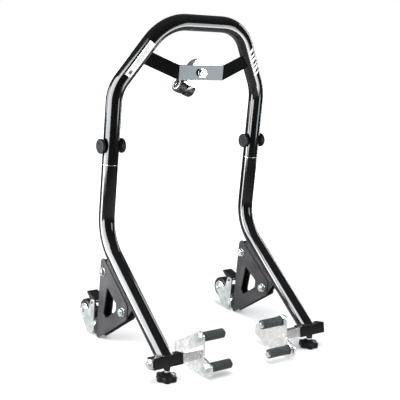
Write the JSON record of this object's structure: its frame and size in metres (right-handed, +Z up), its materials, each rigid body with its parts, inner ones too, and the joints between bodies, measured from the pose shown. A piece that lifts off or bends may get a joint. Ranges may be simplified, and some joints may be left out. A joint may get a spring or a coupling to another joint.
{
  "type": "paddock stand",
  "caption": "Tubular front-wheel paddock stand with sliding pin adapters, adjustable feet, two braked rear casters and a swivelling caster under the crown.",
  "frame": {"origin": "on the floor, under the middle of the bounding box", "axes": "+Z up, -Y to the front where the adapters are, +X to the right as seen from the front"},
  "size_m": [0.511, 0.4304, 0.7778],
  "materials": {
    "frame_paint": "gloss black powder coat",
    "gusset_paint": "semi-gloss black powder coat",
    "zinc": "bright zinc plate",
    "plate_zinc": "pale zinc plate",
    "inner_steel": "bare steel",
    "knob_plastic": "fine matte black plastic",
    "sleeve_rubber": "knurled black rubber",
    "tread": "black polyurethane tread",
    "hub_plastic": "black nylon",
    "pedal": "black enamel"
  },
  "bodies": {
    "stand": {"upper_hoop": "frame_paint", "caster_strap": "frame_paint", "centre_kingpin": "zinc", "centre_race": "zinc", "lower_leg_left": "frame_paint", "leg_sleeve_left": "inner_steel", "leg_bracket_left": "gusset_paint", "gusset_left": "gusset_paint", "gusset_bolts_left": "zinc", "socket_left": "frame_paint", "socket_nut_left": "frame_paint", "caster_kingpin_left": "zinc", "caster_race_left": "zinc", "lower_leg_right": "frame_paint", "leg_sleeve_right": "inner_steel", "leg_bracket_right": "gusset_paint", "gusset_right": "gusset_paint", "gusset_bolts_right": "zinc", "socket_right": "frame_paint", "socket_nut_right": "frame_paint", "caster_kingpin_right": "zinc", "caster_race_right": "zinc"},
    "adapter_left": {"adapter_tube_left": "plate_zinc", "adapter_end_plug_left": "zinc", "adapter_plate_left": "plate_zinc", "pin_bolts_left": "zinc", "pin_sleeve_upper_left": "sleeve_rubber", "pin_sleeve_lower_left": "sleeve_rubber"},
    "foot_left": {"foot_knob_left": "knob_plastic", "foot_stud_left": "zinc"},
    "outer_knob_left": {"joint_knob_outer_left": "knob_plastic", "joint_bolt_left": "zinc"},
    "inner_knob_left": {"joint_knob_inner_left": "knob_plastic"},
    "caster_left": {"caster_fork_left": "zinc", "caster_axle_left": "zinc"},
    "caster_wheel_left": {"caster_tyre_left": "tread", "caster_hub_left": "hub_plastic"},
    "brake_left": {"brake_pedal_left": "pedal"},
    "adapter_right": {"adapter_tube_right": "plate_zinc", "adapter_end_plug_right": "zinc", "adapter_plate_right": "plate_zinc", "pin_bolts_right": "zinc", "pin_sleeve_upper_right": "sleeve_rubber", "pin_sleeve_lower_right": "sleeve_rubber"},
    "foot_right": {"foot_knob_right": "knob_plastic", "foot_stud_right": "zinc"},
    "outer_knob_right": {"joint_knob_outer_right": "knob_plastic", "joint_bolt_right": "zinc"},
    "inner_knob_right": {"joint_knob_inner_right": "knob_plastic"},
    "caster_right": {"caster_fork_right": "zinc", "caster_axle_right": "zinc"},
    "caster_wheel_right": {"caster_tyre_right": "tread", "caster_hub_right": "hub_plastic"},
    "brake_right": {"brake_pedal_right": "pedal"},
    "centre_caster": {"centre_fork": "zinc", "centre_axle": "zinc"},
    "centre_wheel_left": {"centre_tyre_left": "tread", "centre_hub_left": "hub_plastic"},
    "centre_wheel_right": {"centre_tyre_right": "tread", "centre_hub_right": "hub_plastic"}
  },
  "joints": [
    {"name": "adapter_slide_left", "type": "slide", "parent": "stand", "child": "adapter_left", "axis": [-1, 0, 0], "range_m": [-0.04, 0.037]},
    {"name": "foot_turn_left", "type": "hinge", "parent": "stand", "child": "foot_left", "pos_m": [-0.20555, -0.1615, 0.02], "axis": [0, 0, 1], "continuous": true},
    {"name": "outer_knob_turn_left", "type": "hinge", "parent": "stand", "child": "outer_knob_left", "pos_m": [-0.20555, 0.11545, 0.46914], "axis": [1, 0, 0], "continuous": true},
    {"name": "inner_knob_turn_left", "type": "hinge", "parent": "stand", "child": "inner_knob_left", "pos_m": [-0.20555, 0.11545, 0.46914], "axis": [1, 0, 0], "continuous": true},
    {"name": "caster_swivel_left", "type": "hinge", "parent": "stand", "child": "caster_left", "pos_m": [-0.20555, 0.14098, 0.02476], "axis": [0, 0.9994, 0.0349], "continuous": true},
    {"name": "caster_roll_left", "type": "hinge", "parent": "caster_left", "child": "caster_wheel_left", "pos_m": [-0.20555, 0.18818, 0.04842], "axis": [1, 0, 0], "continuous": true},
    {"name": "brake_press_left", "type": "hinge", "parent": "caster_left", "child": "brake_left", "pos_m": [-0.20555, 0.14145, 0.08281], "axis": [-1, 0, 0], "range_deg": [0, 14]},
    {"name": "adapter_slide_right", "type": "slide", "parent": "stand", "child": "adapter_right", "axis": [1, 0, 0], "range_m": [-0.03, 0.045]},
    {"name": "foot_turn_right", "type": "hinge", "parent": "stand", "child": "foot_right", "pos_m": [0.21545, -0.1615, 0.02], "axis": [0, 0, 1], "continuous": true},
    {"name": "outer_knob_turn_right", "type": "hinge", "parent": "stand", "child": "outer_knob_right", "pos_m": [0.21545, 0.11545, 0.46914], "axis": [1, 0, 0], "continuous": true},
    {"name": "inner_knob_turn_right", "type": "hinge", "parent": "stand", "child": "inner_knob_right", "pos_m": [0.21545, 0.11545, 0.46914], "axis": [1, 0, 0], "continuous": true},
    {"name": "caster_swivel_right", "type": "hinge", "parent": "stand", "child": "caster_right", "pos_m": [0.21545, 0.14098, 0.02476], "axis": [0, 0.9994, 0.0349], "continuous": true},
    {"name": "caster_roll_right", "type": "hinge", "parent": "caster_right", "child": "caster_wheel_right", "pos_m": [0.21545, 0.18818, 0.04842], "axis": [1, 0, 0], "continuous": true},
    {"name": "brake_press_right", "type": "hinge", "parent": "caster_right", "child": "brake_right", "pos_m": [0.21545, 0.14145, 0.08281], "axis": [-1, 0, 0], "range_deg": [0, 14]},
    {"name": "centre_swivel", "type": "hinge", "parent": "stand", "child": "centre_caster", "pos_m": [0.00495, 0.08732, 0.64426], "axis": [0, 0.9994, 0.0349], "continuous": true},
    {"name": "centre_roll_left", "type": "hinge", "parent": "centre_caster", "child": "centre_wheel_left", "pos_m": [-0.02116, 0.118, 0.61094], "axis": [0.9455, 0.0114, -0.3254], "continuous": true},
    {"name": "centre_roll_right", "type": "hinge", "parent": "centre_caster", "child": "centre_wheel_right", "pos_m": [0.00437, 0.11831, 0.60216], "axis": [0.9455, 0.0114, -0.3254], "continuous": true}
  ]
}
